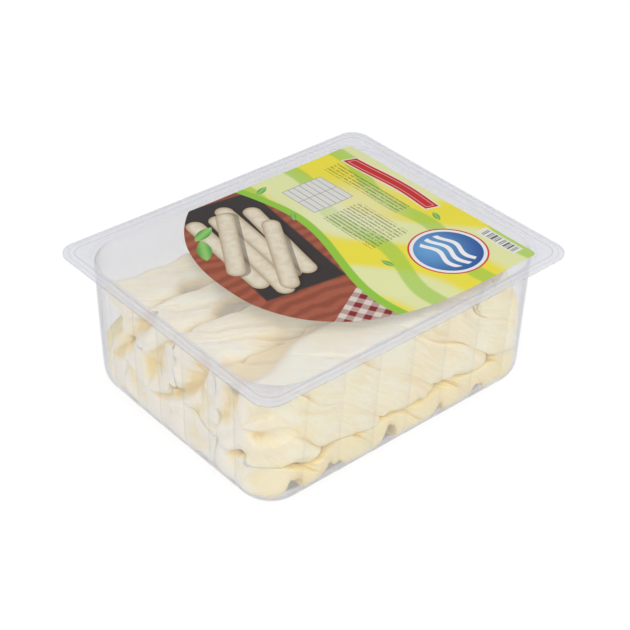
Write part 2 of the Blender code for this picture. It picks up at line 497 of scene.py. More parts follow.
def make_tray():
    """The skin from the rim to the base, thickened outward like a formed sheet."""
    rings = []
    for inset, height, radius, flute in tray_profile():
        points, outward, share = outline(HALF_X - inset, HALF_Y - inset, radius)
        points = points - outward * (share * flute)[:, None]
        near_rim = ease(height, RIM_TOP - 0.02, RIM_TOP)
        heights = height + rim_bend(points[:, 0], points[:, 1]) * near_rim
        if height < RIM_TOP - 2 * MM:
            points = np.column_stack(corner_lean(points[:, 0], points[:, 1], height))
        rings.append(np.column_stack((points, heights)))
    tray = ring_mesh("clear_tray", rings)
    thicken = tray.modifiers.new("sheet", "SOLIDIFY")
    thicken.thickness = SHEET
    thicken.offset = 1.0
    thicken.use_even_offset = False
    return tray


tray = make_tray()
print("tray faces before thickening:", len(tray.data.polygons))

# %% [markdown]
# ## The film
# The film is welded onto the rim and hangs almost tight over the mouth. A dead flat sheet would
# mirror the lamps like glass, so it gets a slight sag and long shallow ripples that start at the
# weld. It is a slab of two equal grids joined at their edges, so that it is a closed solid.

# %% The film's surface
FILM_EDGE = 0.4 * MM
FILM_THICKNESS = 0.12 * MM
FILM_GAP = 0.10 * MM
FILM_SAG = 0.5 * MM
RIPPLE = 0.10 * MM


def film_height(x, y):
    """Height of the film's underside at arrays of places."""
    to_edge = np.minimum(HALF_X - np.abs(x), HALF_Y - np.abs(y))
    inside = ease(to_edge, SHELF, SHELF + 22 * MM)
    sag = -FILM_SAG * inside
    pulled_x = x / 0.0051 + 1.3 * np.sin(y / 0.021)
    pulled_y = y / 0.0067 + 0.8 * np.sin(x / 0.017)
    pulled = np.sin(pulled_x) * np.sin(pulled_y)
    ripple = RIPPLE * pulled * ease(to_edge, SHELF, SHELF + 5 * MM)
    broad = 0.16 * MM * np.sin(x / 0.019 + y / 0.031) * inside
    return RIM_TOP + FILM_GAP + rim_bend(x, y) + sag + ripple + broad


def corner_extent(x, half_x, half_y, radius):
    """Half the width of a rounded rectangle at a place along its length."""
    past = np.clip(np.abs(x) - (half_x - radius), 0, radius)
    return half_y - radius + np.sqrt(radius ** 2 - past ** 2)


def columns_along(half_x, radius, middle_count):
    """Places along X, close together where the corners turn."""
    turn = np.sin(np.linspace(0, math.pi / 2, 10)) * radius
    right = half_x - radius + turn
    middle = np.linspace(-(half_x - radius), half_x - radius, middle_count)[1:-1]
    return np.concatenate((-right[::-1], middle, right))


print("film's sag in mm at its middle:", round(float(film_height(0.0, 0.0) - RIM_TOP) / MM, 2))

# %% [markdown]
# A sheet is modelled as a slab: the same grid of points twice, an upper and a lower one, and a
# strip of faces round the edge. Film and print are both made so. Turning all faces outward at
# the end is safer than keeping count of their order by hand.

# %% Slabs and closed pieces
def quad_faces(grid):
    """Faces between the neighbouring rows and columns of a grid of point numbers."""
    corners = (grid[:-1, :-1], grid[1:, :-1], grid[1:, 1:], grid[:-1, 1:])
    return np.stack(corners, -1).reshape(-1, 4)


def slab(name, x, y, low, high):
    """A closed slab from grids of places and of lower and upper heights, all of one shape."""
    rows, columns = x.shape
    index = np.arange(rows * columns).reshape(rows, columns)
    under = index + rows * columns
    points = np.concatenate((np.stack((x, y, high), -1).reshape(-1, 3),
                             np.stack((x, y, low), -1).reshape(-1, 3)))
    edge = np.concatenate((index[0, :-1], index[:-1, -1], index[-1, :0:-1], index[:0:-1, 0]))
    below = edge + rows * columns
    sides = np.stack((edge, np.roll(edge, -1), np.roll(below, -1), below), -1)
    faces = np.concatenate((quad_faces(index), quad_faces(under)[:, ::-1], sides))
    return closed_piece(name, points, faces.tolist())


def closed_piece(name, points, faces):
    """A smooth shaded piece from points and faces, with its faces turned outward."""
    mesh = bpy.data.meshes.new(name)
    mesh.from_pydata(points.tolist(), [], faces)
    made = bmesh.new()
    made.from_mesh(mesh)
    bmesh.ops.recalc_face_normals(made, faces=made.faces[:])
    made.to_mesh(mesh)
    made.free()
    mesh.shade_smooth()
    piece = bpy.data.objects.new(name, mesh)
    bpy.context.scene.collection.objects.link(piece)
    return piece


def make_film():
    """The film as a slab with rounded corners, a little smaller than the rim."""
    half_x, half_y = HALF_X - FILM_EDGE, HALF_Y - FILM_EDGE
    x = columns_along(half_x, RIM_CORNER - FILM_EDGE, 130)
    across = np.linspace(-1, 1, 110)
    x, across = np.meshgrid(x, across, indexing="ij")
    y = across * corner_extent(x, half_x, half_y, RIM_CORNER - FILM_EDGE)
    low = film_height(x, y)
    return slab("clear_film", x, y, low, low + FILM_THICKNESS)


film = make_film()
film.data.set_sharp_from_angle(angle=math.radians(50))
print("film faces:", len(film.data.polygons))

# %% [markdown]
# ## The printed panel
# The print is ink on the film, with clear film left free at the left end so that a buyer sees
# the cheese. It is its own thin slab that follows the film's surface. Its outline is straight at
# the right and swells out in one round sweep at the left, like the end of a stretched oval.

# %% The panel's outline
PRINT_RIGHT = 79 * MM
PRINT_FRONT = -65 * MM
PRINT_BACK = 63.5 * MM
PRINT_CORNER = 3.0 * MM
SWEEP_LEFT = -50.5 * MM
SWEEP_MIDDLE = (40 * MM, 4 * MM)
SWEEP_BACK_REACH = 77 * MM
SWEEP_POWER = 2.33
INK = 0.06 * MM


def print_left(y):
    """Where the panel begins at its left, for a place across it."""
    offset = y - SWEEP_MIDDLE[1]
    reach = np.where(offset > 0, SWEEP_BACK_REACH, SWEEP_MIDDLE[1] - PRINT_FRONT)
    share = np.clip(np.abs(offset) / reach, 0, 1)
    half = SWEEP_MIDDLE[0] - SWEEP_LEFT
    return SWEEP_MIDDLE[0] - half * (1 - share ** SWEEP_POWER) ** (1 / SWEEP_POWER)


def print_right(y):
    """Where the panel ends at its right, with its two small corners."""
    past = np.maximum(y - (PRINT_BACK - PRINT_CORNER), (PRINT_FRONT + PRINT_CORNER) - y)
    past = np.clip(past, 0, PRINT_CORNER)
    return PRINT_RIGHT - PRINT_CORNER + np.sqrt(PRINT_CORNER ** 2 - past ** 2)


def make_print():
    """The panel as a slab that follows the film, with more rows where its outline turns."""
    turn = (1 - np.cos(np.linspace(0, math.pi / 2, 9))) * PRINT_CORNER
    front = (1 - np.cos(np.linspace(0, math.pi / 2, 40))) * 40 * MM
    start = PRINT_FRONT + 0.02 * MM
    rows = np.unique(np.round(np.concatenate((start + turn, start + front, PRINT_BACK - turn,
                                              np.linspace(-25 * MM, 60 * MM, 50))), 5))
    share = np.linspace(0, 1, 90)
    y, share = np.meshgrid(rows, share, indexing="ij")
    left, right = print_left(y), print_right(y)
    x = left + (right - left) * share
    low = film_height(x, y) + FILM_THICKNESS + 0.02 * MM
    return slab("print_panel", x, y, low, low + INK)


panel = make_print()
panel.data.set_sharp_from_angle(angle=math.radians(50))
for face in panel.data.polygons:
    face.material_index = 1 if face.normal.z < -0.5 else 0
print("panel faces:", len(panel.data.polygons))

# %% [markdown]
# ## The cheese
# Pulled curd is stretched into ropes, and a few ropes are twisted round each other into one thick
# braid. Eight braids lie in two layers, each pressed against its neighbours and the tray. First
# comes where they may lie: the seams between neighbours, the level between the layers and the
# room inside the tray. Each is a smooth function of the place. A braid is pressed against them
# by a soft limit, which takes the smaller of two values but rounds the change between them.

# %% Where the braids lie
LOWER_SEAMS = (-66.5, -30.0, 5.0, 37.0, 66.5)       # in mm across the tray, front to back
UPPER_SEAMS = (-67.5, -31.5, -0.5, 21.5, 47.5)
LAYER_MIDDLE = 33.0 * MM
LAYER_RISE = 10.5 * MM
LAYER_REACH = 35 * MM
WAVE = 1.1 * MM
TOP_OF_CHEESE = 67.2 * MM
CLEAR = 0.25 * MM                # between the cheese and what it presses on
BASE = 1.0 * MM                  # where the lowest cheese rests
BULGE = 1.18                     # how far a free braid would reach past its place
SQUARENESS = 2.9                 # how boxy its section is
SHARED_AT_TIP = 0.8 * MM         # neighbours are pressed into each other at their ends
SHARED_BY_LAYERS = 0.4 * MM      # and so are the two layers

# Strands, length of one turn in mm, first angle, and how full its upper half is.
LOWER_BRAIDS = ((4, 116, 0.30, 1.0), (3, 118, 1.40, 1.0), (3, 110, 2.20, 1.0), (3, 121, 0.80, 1.0))
UPPER_BRAIDS = ((5, 175, 1.47, 1.0), (4, 250, 1.10, 0.90), (4, 230, 2.60, 0.88), (4, 240, 1.90, 0.88))


def soft_least(a, b, width):
    """The smaller of two, rounded where they meet."""
    share = np.clip(0.5 + 0.5 * (b - a) / width, 0, 1)
    return b * (1 - share) + a * share - width * share * (1 - share)


def soft_most(a, b, width):
    """The larger of two, rounded where they meet."""
    return -soft_least(-a, -b, width)


def layer_height(x, y):
    """The level where the two layers meet: low at the front, high at the back."""
    wave = np.sin(2 * math.pi * x / 0.105 + y / 0.03) + 1.3 * np.sin(2 * math.pi * x / 0.034 - y / 0.02)
    dip = 4 * MM * np.exp(-((x / MM + 57) / 9) ** 2) * ease(-y, 15 * MM, 45 * MM)
    return LAYER_MIDDLE + LAYER_RISE * np.tanh(y / LAYER_REACH) + WAVE * wave - dip


def seam_line(place, index, x):
    """Where two neighbours in one layer meet."""
    return place * MM + WAVE * np.sin(2 * math.pi * x / 0.090 + 1.7 * index + 0.5)


print("a soft limit of 1 and 1:", round(float(soft_least(np.array(1.0), np.array(1.0), 0.2)), 3))

# %% [markdown]
# The tray's inside has leaning walls, round corners and a round foot. A point outside that room
# is drawn straight back to its surface, so that pressed cheese takes the tray's own form, as
# soft curd does.

# %% Room inside the tray
def inner_corner(height):
    """At a height: half length and half width of the straight part, and the corner's radius."""
    inset = SHELF + LEAN * (RIM_TOP - height) + 0.8 * MM + CLEAR
    radius = wall_corner(height) - 0.8 * MM - CLEAR
    return HALF_X - inset - radius, HALF_Y - inset - radius, radius


def into_tray(x, y, z):
    """Points drawn inside the walls, corners, rounded foot and base, each straight inward.

    Also gives how far each point was outside.
    """
    straight_x, straight_y, radius = inner_corner(np.maximum(z, FOOT_ROUND))
    foot = FOOT_ROUND - BASE
    past_x = np.maximum(np.abs(x) - straight_x, 0)
    past_y = np.maximum(np.abs(y) - straight_y, 0)
    away = np.hypot(past_x, past_y)
    out = np.maximum(away - (radius - foot), 0)
    down = np.maximum(FOOT_ROUND - z, 0)
    reach = np.hypot(out, down)
    share = soft_least(reach, foot, 1.2 * MM) / np.maximum(reach, 1e-6)
    kept = np.minimum(away, radius - foot) + out * share
    kept = kept / np.maximum(away, 1e-6)
    inside_x = np.sign(x) * (np.minimum(np.abs(x), straight_x) + past_x * kept)
    inside_y = np.sign(y) * (np.minimum(np.abs(y), straight_y) + past_y * kept)
    return inside_x, inside_y, np.maximum(z, FOOT_ROUND) - down * share, reach - foot


def room_along(y, height):
    """Half the length between the tray's end walls at a place and height."""
    straight_x, straight_y, radius = inner_corner(height)
    past = np.clip(np.abs(y) - straight_y, 0, radius)
    return straight_x + np.sqrt(radius ** 2 - past ** 2)


print("half length inside in mm at mid height:", round(float(room_along(np.array(0.0), 0.037)) / MM, 1))

# %% [markdown]
# Packed cheese never fills a tray to the last corner. At the end walls the strands end in lobes
# with slanting hollows between them. Each hollow is a smooth bump of depth round a middle, so a
# list of middles, sizes and depths describes them all, and a few wide ones leave a corner empty.

# %% Hollows at the end walls
# Hollows between the braids' ends at the left wall, then at the right: place across and height,
# half width and half height, lean, and depth, all in mm but the lean.
LEFT_HOLLOWS = (
    (20.5, 59, 3.4, 9, 0.73, 11), (0, 60, 1.6, 5, 1.6, 3),
    (-16.5, 52, 4.4, 11, 0.5, 11), (-3.5, 33, 3.2, 7, 1.35, 5), (-17, 32, 5, 6, 0.5, 3),
    (-38, 50, 3, 12, 0.4, 4.5), (-51, 38.5, 2.4, 4, 1.0, 7), (-43.5, 24.5, 2.4, 3.5, 1.5, 7),
    (14, 42, 5, 14, 0.6, 4), (12, 22, 2.4, 4, 1.5, 4), (38, 35, 5, 10, 0.8, 2.5))
RIGHT_HOLLOWS = (
    (-35, 50, 4, 10, -0.6, 6), (-6, 40, 4, 11, -0.8, 6), (18, 55, 4, 9, -0.6, 6),
    (-30, 18, 4, 7, -0.8, 5), (12, 19, 4, 8, -0.7, 5))
# Wider room in the same form, where the ends leave a corner of the tray empty.
LEFT_ROOM = ((61, 41, 13, 8, 0.6, 26),)
RIGHT_ROOM = ((-74, 74, 21, 21, 0.0, 28), (62, 55, 17, 20, 0.0, 24))


def end_hollow(places, y, height):
    """How deep the ends stand back from the end wall at a place."""
    depth = np.zeros(np.shape(y))
    for across, up, half, tall, lean, deep in places:
        rise = height / MM - up
        offset = (y / MM - across + lean * rise) / half
        depth = depth + deep * MM * np.exp(-offset ** 2 - (rise / tall) ** 2)
    return depth


print("deepest hollow at the left wall in mm:", max(hollow[5] for hollow in LEFT_HOLLOWS))

# %% [markdown]
# Two more kinds of empty space are made in the same way. The foot has gaps under the lowest
# strands that look like small caves, and between the upper braids there are valleys with a pit
# here and there. These bumps change a height: that of the base below, or that of the top.

# %% Gaps at the foot and valleys on top
# Gaps under the lowest strands at the front wall and at the left wall: place along the wall,
# half width and height, in mm.
FOOT_GAPS = ((-67, 6.5, 17), (-44, 9.5, 14), (-10, 5.5, 18), (23, 5.5, 12), (48, 8.0, 12))
LEFT_FOOT_GAPS = ((34, 11.0, 8), (5, 12.0, 6), (-28, 6.0, 10))
# Pits at the seams of the upper layer: seam, place along, half length and depth, in mm.
SEAM_PITS = ((1, -47, 5, 3.5), (1, -76, 5, 2.5), (2, -49, 9, 8.0), (3, -52, 7, 9.0),
             (1, 8, 9, 4.0), (2, 20, 8, 4.5), (3, -5, 8, 3.5), (3, 47, 9, 4.0), (1, 55, 8, 3.0))
VALLEY = 2.6 * MM                # depth of the valleys between the upper braids
VALLEY_HALF = 3.0 * MM


def row_of_gaps(places, along):
    """Height of a row of gaps beside a wall."""
    height = np.zeros(np.shape(along))
    for place, half, tall in places:
        height = height + tall * MM * np.exp(-((along / MM - place) / half) ** 2)
    return height


def foot_gap(x, y):
    """How far the lowest cheese is lifted off the foot of the front and left walls."""
    ragged = 1 + 0.2 * np.sin((x + y) / (1.3 * MM)) * np.sin((x - y) / (3.1 * MM) + 1)
    front = row_of_gaps(FOOT_GAPS, x + 0 * y) * ease(-y, 48 * MM, 60 * MM)
    left = row_of_gaps(LEFT_FOOT_GAPS, y + 0 * x) * ease(-x, 66 * MM, 78 * MM)
    return soft_least((front + left) * ragged, layer_height(x, y) - 5.5 * MM, 3 * MM)


def top_height(x, y):
    """The top of the upper layer: rounded ropes with valleys and a few pits between them."""
    drop = 0.5 * MM * np.sin(x / 0.017 + y / 0.012) * np.sin(x / 0.031 - y / 0.02 + 1)
    for number in (1, 2, 3):
        across = (y - seam_line(UPPER_SEAMS[number], number, x)) / VALLEY_HALF
        drop = drop + VALLEY * np.exp(-across ** 2)
        for seam, place, half, deep in SEAM_PITS:
            if seam == number:
                along = (x / MM - place) / half
                drop = drop + deep * MM * np.exp(-along ** 2 - (across * 0.8 - 0.5) ** 2)
    # The front braid has a shoulder behind its crest, wider at its left end.
    right = ease(x, -72 * MM, -40 * MM)
    shoulder = (y - (5.5 * right - 40.0) * MM) / ((9.0 - 5.5 * right) * MM)
    drop = soft_most(drop, 5.0 * MM * np.exp(-shoulder ** 4), 1.5 * MM)
    return TOP_OF_CHEESE - np.maximum(drop, 0)


print("highest gap at the front's foot in mm:", max(gap[2] for gap in FOOT_GAPS))

# %% [markdown]
# Two kinds of unevenness are needed. Waves along the grid's own directions give fibres and
# swellings that follow the strands. Short dents, each with its own place, length and depth,
# give the small folds where the skin of the curd closed over itself. Both come from a seeded
# generator, one for each braid, so that every run gives the same cheese.

# %% Unevenness
def strand_waves(draw, around, along, counts, lengths, total):
    """Sum of waves that close round the braid; the mean size of the sum is about total."""
    field = np.zeros(around.shape)
    for count in counts:
        for length in lengths:
            phase, drift = draw.uniform(0, 2 * math.pi, 2)
            side = draw.choice((-1, 1))
            field += np.sin(count * around + side * 2 * math.pi * along / length + phase
                            + 0.9 * np.sin(2 * math.pi * along / (length * 1.7) + drift))
    return total * field / math.sqrt(len(counts) * len(lengths))


def lumps(draw, x, y, z, size):
    """Rounded lumps of about one size: waves in many directions added up."""
    field = np.zeros(x.shape)
    for _ in range(14):
        direction = draw.normal(0, 1, 3)
        direction *= 2 * math.pi / (size * draw.uniform(0.75, 1.5)) / np.linalg.norm(direction)
        field += np.sin(direction[0] * x + direction[1] * y + direction[2] * z + draw.uniform(0, 6.3))
    return field / math.sqrt(7)


def folds(draw, around, along, start, stop, count, width, depth):
    """Short dents that lie nearly along the strands, each deeper at its middle."""
    field = np.zeros(around.shape)
    for _ in range(count):
        centre = draw.uniform(0, 2 * math.pi)
        place = draw.uniform(start + 6 * MM, stop - 6 * MM)
        reach = draw.uniform(4, 12) * MM
        slant = draw.normal(0, 14)
        curve = draw.normal(0, 900)
        wide = width * draw.uniform(0.6, 1.4)
        deep = depth * draw.uniform(0.4, 1.0)
        offset = along - place
        turned = around - centre - slant * offset - curve * offset ** 2
        turned = (turned + math.pi) % (2 * math.pi) - math.pi
        line = turned / wide
        lip = np.exp(-line ** 2) - 0.35 * np.exp(-(line - 1.6) ** 2)
        field += deep * lip * np.exp(-(offset / reach) ** 4)
    return field


waves = strand_waves(np.random.default_rng(1), np.linspace(0, 6, 50), np.zeros(50), (3,), (0.1,), 1.0)
print("strand waves reach from", round(float(waves.min()), 2), "to", round(float(waves.max()), 2))

# %% [markdown]
# A braid is modelled in the order in which it was made, and the first step is the free rope. It
# is a grid of rows along the braid and columns round it. The columns follow the strands, so the
# crease between two strands is always a line of the mesh, and they stand closer together there.

# %% The rope's grid
ROWS = 300
COLUMNS = 150
END_ROUND = 6 * MM
GROOVE = 0.22                    # depth of a crease between strands, as a share of the radius
DENTS = 44                       # small folds on each braid
DENT_DEPTH = 1.1 * MM
RIDGE = 0.35 * MM
FIBRE = 0.40 * MM
LUMP = 13 * MM                   # from one lump to the next


def column_angles(strands):
    """Angles round a braid, starting in a crease and closer together near each crease."""
    share = (np.arange(COLUMNS) + 0.5) / COLUMNS * strands
    strand = np.floor(share)
    within = share - strand
    within = within - 0.09 * np.sin(2 * math.pi * within) / (2 * math.pi) * 6
    return (strand + within - 0.5) * 2 * math.pi / strands, strand.astype(int)


print("columns on each strand of four:", np.bincount(column_angles(4)[1]).tolist())

# %% [markdown]
# The rope's section is a squashed oval a little larger than its place, with a groove at each
# crease, and lumps, dents and fibres laid over it. It turns as it goes along, which twists the
# strands. All that a later step needs is kept in one record, named after what it means.

# %% A free rope
def free_rope(spec, ends, seams, index, floor, ceiling, draw):
    """The twisted rope before it is pressed, a little too large for its place.

    At its tips it is boxier and less grooved, because pressed ends are flat lobes.
    """
    strands, turn, first, fullness = spec
    start, stop = ends
    angles, strand = column_angles(strands)
    share = np.linspace(0, 1, ROWS)
    share = 0.30 * (0.5 - 0.5 * np.cos(math.pi * share)) + 0.70 * share    # closer at the ends
    share, around = np.meshgrid(share, angles, indexing="ij")
    strand = np.broadcast_to(strand, around.shape)
    # Each strand starts and ends at its own place, a little past the end walls.
    begins = start + draw.uniform(-8, -6, strands)[strand] * MM * (1 - share) ** 2
    ends_at = stop - draw.uniform(-8, -6, strands)[strand] * MM * share ** 2
    x = begins + (ends_at - begins) * share
    within = around * strands / (2 * math.pi) - strand          # -0.5 to 0.5 across a strand
    crown = (1 - np.clip(np.abs(within) * 2, 0, 1) ** 3.0) ** 0.5
    size = 1 + draw.normal(0, 0.035, strands)[strand]
    held = np.clip(x, start, stop)            # past the end walls the section stays the same
    swell = strand_waves(draw, around, held, (1, 2), (0.041, 0.067), 0.020)
    ridges = strand_waves(draw, around, held, (6, 9, 13), (0.13, 0.29), 1.0)
    fibres = strand_waves(draw, around, held, (17, 23, 29, 36), (0.06, 0.13), 1.0)
    dents = folds(draw, around, held, start, stop, DENTS, 0.05, DENT_DEPTH)
    angle = around + 2 * math.pi * held / (turn * MM) + first
    angle = angle + strand_waves(draw, around, held, (1, 2, 3), (0.055, 0.083), 0.035)
    front = seam_line(seams[0], index, held) + 0.1 * MM
    back = seam_line(seams[1], index + 1, held) - 0.1 * MM
    middle = (front + back) / 2
    low = floor(held, middle)
    high = np.maximum(ceiling(held, middle), layer_height(held, middle))
    half_y = (back - front) / 2 * BULGE
    half_z = (high - low) / 2 * BULGE
    half_z = np.where(np.sin(angle) > 0, half_z * fullness, half_z)
    cos, sin = np.cos(angle), np.sin(angle)
    to_tip = np.minimum(x - begins, ends_at - x)
    boxy = SQUARENESS + 1.6 * (1 - ease(to_tip, 8 * MM, 30 * MM))
    reach = (np.abs(cos / half_y) ** boxy + np.abs(sin / half_z) ** boxy) ** (-1 / boxy)
    full = 0.06 + 0.94 * np.sqrt(1 - (1 - np.clip(to_tip / END_ROUND, 0, 1)) ** 2.5)
    groove = GROOVE * (1 - 0.5 * (1 - ease(to_tip, 8 * MM, 26 * MM)))
    reach = reach * full * size * (1 + swell) * (1 - groove * (1 - crown))
    at_tip = 1 - ease(to_tip, 3 * MM, 22 * MM)
    bumps = lumps(draw, held, reach * cos, reach * sin, LUMP) * (0.5 + 0.3 * at_tip) * MM
    relief = bumps - dents + RIDGE * ridges * (1 + at_tip) + FIBRE * fibres
    reach = reach + relief * full
    return SimpleNamespace(
        x=x, y=middle + reach * cos, z=(low + high) / 2 + reach * sin, front=front, back=back,
        around=around, cos=cos, sin=sin, reach=reach, crown=crown, dents=dents, to_tip=to_tip)


def flat_floor(x, y):
    return BASE + 0 * x


rope = free_rope(LOWER_BRAIDS[0], (-0.08, 0.08), LOWER_SEAMS[:2], 0,
                 flat_floor, layer_height, np.random.default_rng(1))
print("a free rope's widest place in mm:", round(float(np.ptp(rope.y)) / MM, 1))

# %% [markdown]
# The second step presses the rope into its place, with a soft limit at each neighbour, the tray,
# the top and the layer below. The ends need more care. A rope drawn back from the end wall only
# where a hollow is would fold over itself, so its last 42 mm are squeezed together smoothly
# instead, more where the hollow is deeper. At their tips neighbours share a little skin, as
# pressed curd leaves no gap between two lobes.

# %% Pressing a rope into its place
SOFT = 1.6 * MM                  # how softly a braid meets its neighbours
SQUEEZED = 42 * MM               # length at each end that a hollow squeezes together


def smoothed(grid, passes=2):
    """A grid's values, each drawn half way to the mean of its four neighbours."""
    for _ in range(passes):
        side = (np.roll(grid, 1, 1) + np.roll(grid, -1, 1)) / 4
        inner = grid.copy()
        inner[1:-1] = grid[1:-1] * 0.5 + (grid[:-2] + grid[2:]) / 8 + side[1:-1] / 2
        grid = inner
    return grid


def press(rope, floor, ceiling, draw):
    """Moves the rope's points to where its neighbours and the tray leave room for them."""
    shared = SHARED_AT_TIP * (1 - ease(rope.to_tip, 3 * MM, 16 * MM))
    y = soft_least(soft_most(rope.y, rope.front - shared, SOFT), rope.back + shared, SOFT)
    x, y, z, _ = into_tray(rope.x, y, rope.z)
    z = soft_most(soft_least(z, ceiling(x, y), SOFT), floor(x, y), SOFT)
    end_wall = room_along(y, z)
    hollow = end_hollow(LEFT_HOLLOWS, y, z) * (x < 0) + end_hollow(RIGHT_HOLLOWS, y, z) * (x > 0)
    room = end_hollow(LEFT_ROOM, y, z) * (x < 0) + end_hollow(RIGHT_ROOM, y, z) * (x > 0)
    # Between the hollows the ends are uneven too, in shallow slanting lumps.
    slanting = np.sign(x) * y
    uneven = lumps(draw, 0 * x, (slanting + z) * 0.45, (slanting - z) * 0.9, 11 * MM)
    rope.hollow = hollow + 1.1 * MM * np.clip(uneven + 0.2, 0, 2)
    rope.room = room
    reached = soft_least(np.abs(x), end_wall, 2.0 * MM)
    rope.to_wall = end_wall - reached
    x = np.sign(x) * (reached - (rope.hollow + room) * (1 - ease(rope.to_wall, 0, SQUEEZED)))
    rope.x, rope.y, rope.z = smoothed(x), smoothed(y), smoothed(z)
    _, _, _, rope.outside = into_tray(rope.x, rope.y, rope.z)


press(rope, flat_floor, layer_height, np.random.default_rng(1))
print("the same rope pressed, in mm:", round(float(np.ptp(rope.y)) / MM, 1))

# %% [markdown]
# The third step writes down how each point ended up, because a finish can then tell a crease from a
# face that is pressed flat against the plastic: pressed curd looks white and flat, while creases and
# hollows get painted shade, a deeper yellow that turns brown-grey where they are deepest.

# %% What pressing leaves
def pressed_share(rope):
    """How flat each point lies against the plastic, and how pale the very top is, from 0 to 1."""
    near_end = 1 - ease(rope.to_wall, 2 * MM, 12 * MM)
    below_top = ease(TOP_OF_CHEESE - rope.z, 1.5 * MM, 6 * MM)
    # Lightly against the side walls.
    at_side = np.clip(1.5 + rope.outside / (0.8 * MM), 0, 1) * 0.25 * (1 - near_end)
    # Hard against the end walls, less near the tray's corners.
    at_end = np.clip(1.3 - (rope.hollow + rope.room) / (2.4 * MM), 0, 1)
    at_end = at_end * (1 - 0.6 * ease(np.abs(rope.y), 46 * MM, 60 * MM))
    at_end = at_end * (1 - ease(rope.to_wall, 0.8 * MM, 5 * MM))
    # And paler near the very top.
    at_top = 0.45 * (1 - ease(TOP_OF_CHEESE - rope.z, 1 * MM, 5 * MM))
    return np.maximum((at_side + at_end) * below_top, at_top)


def crease_shade_share(rope, pressed):
    """How much painted shade each point gets in a crease, seam or hollow; past 1 it is the deepest
    shade.
    """
    x, y, z = rope.x, rope.y, rope.z
    near_end = 1 - ease(rope.to_wall, 2 * MM, 12 * MM)
    below_top = ease(TOP_OF_CHEESE - z, 1.5 * MM, 6 * MM)
    # Painted shade between the strands and in the dents.
    crease = (1 - rope.crown) ** 1.5 * 0.6 + np.clip(rope.dents / (1.0 * MM), 0, 0.4)
    # Painted shade beside the next braid and the other layer.
    near_seam = np.exp(-np.maximum(np.minimum(y - rope.front, rope.back - y), 0) / (2.2 * MM))
    near_layer = np.exp(-np.abs(z - layer_height(x, y)) / (2.2 * MM))
    crease = np.minimum(crease + 0.32 * np.maximum(near_seam, 0.7 * near_layer), 1)
    # Painted shade in the hollows at the ends, and where a side stands off the tray's wall.
    stands_back = np.clip(rope.hollow / (3.8 * MM) - 0.2, 0, 1) * near_end
    beside = np.clip(-rope.outside / (4 * MM), 0, 1) * ease(np.abs(rope.cos), 0.55, 0.95)
    crease = np.maximum(np.maximum(crease, stands_back * below_top), beside * 0.6)
    crease = crease * (1 - 0.6 * pressed)
    # Painted shade in the valleys on top and the gaps at the foot.
    in_valley = np.clip((TOP_OF_CHEESE - top_height(x, y)) / (4 * MM) - 0.35, 0, 1.4)
    on_top = ease(rope.sin, 0.2, 0.6) * (1 - ease(TOP_OF_CHEESE - z, 9 * MM, 15 * MM))
    in_gap = np.exp(-np.maximum(z - BASE - foot_gap(x, y), 0) / (3 * MM))
    in_gap = in_gap * np.clip(foot_gap(x, y) / (4 * MM), 0, 1)
    return crease + 1.1 * in_valley * on_top + in_gap


flat = pressed_share(rope)
shares = [round(float((share > 0.5).mean()), 2) for share in (flat, crease_shade_share(rope, flat))]
print("shares of the skin that are pressed flat and in creases:", shares)

# %% [markdown]
# Now each braid's points become a closed piece: quads between the rows, and a fan of triangles to one
# middle point at either end. The shares of crease shade and pressing, the share of deeper yellow and
# the direction of the fibres ride along as attributes, so that one finish serves all eight. The lower
# layer is given a deeper yellow, and every braid is yellower below its top.

# %% Eight braids
ALONG_GRAIN = 0.12               # fibres are drawn out along the braid, so places shrink


def make_braid(label, index, spec, seams, floor, ceiling, seed):
    """One braid as a closed piece that stands for its solid."""
    node = f"braid_{label}_{index + 1}"
    low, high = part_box(node)
    draw = np.random.default_rng(seed)
    rope = free_rope(spec, (low.x, high.x), seams, index, floor, ceiling, draw)
    press(rope, floor, ceiling, draw)
    pressed = pressed_share(rope)
    crease = crease_shade_share(rope, pressed)
    # A deeper yellow on the lower layer, less where it is pressed, and more below the top of every
    # braid.
    yellower = (0.65 if label == "lower" else 0.0) * (1 - 0.8 * pressed)
    yellower = yellower + 0.25 * ease(TOP_OF_CHEESE - rope.z, 2 * MM, 8 * MM)
    x, y = corner_lean(rope.x, rope.y, rope.z)
    points = np.stack((x, y, rope.z), -1)
    tips = np.stack((points[0].mean(0), points[-1].mean(0)))
    grain = (np.cos(rope.around) * rope.reach, np.sin(rope.around) * rope.reach, x * ALONG_GRAIN)
    grain = np.stack(grain, -1)
    grid = np.arange(ROWS * COLUMNS).reshape(ROWS, COLUMNS)
    grid = np.concatenate((grid, grid[:, :1]), axis=1)
    faces = quad_faces(grid).tolist()
    faces += [(ROWS * COLUMNS, grid[0, k], grid[0, k + 1]) for k in range(COLUMNS)]
    faces += [(ROWS * COLUMNS + 1, grid[-1, k + 1], grid[-1, k]) for k in range(COLUMNS)]
    points = np.concatenate((points.reshape(-1, 3), tips))
    piece = closed_piece(f"cheese_{label}_{index + 1}", points, faces)
    for key, values in (("crease", crease), ("pressed", pressed), ("yellower", yellower)):
        layer = piece.data.attributes.new(key, "FLOAT", "POINT")
        layer.data.foreach_set("value", np.append(values.ravel(), (0, 0)).astype(np.float32))
    layer = piece.data.attributes.new("grain", "FLOAT_VECTOR", "POINT")
    layer.data.foreach_set("vector", np.append(grain.ravel(), np.zeros(6)).astype(np.float32))
    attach(piece, "root")
    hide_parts(node)
    return piece


def lower_floor(x, y):
    return BASE + foot_gap(x, y)


def lower_ceiling(x, y):
    return layer_height(x, y) + SHARED_BY_LAYERS


def upper_floor(x, y):
    return layer_height(x, y) - SHARED_BY_LAYERS


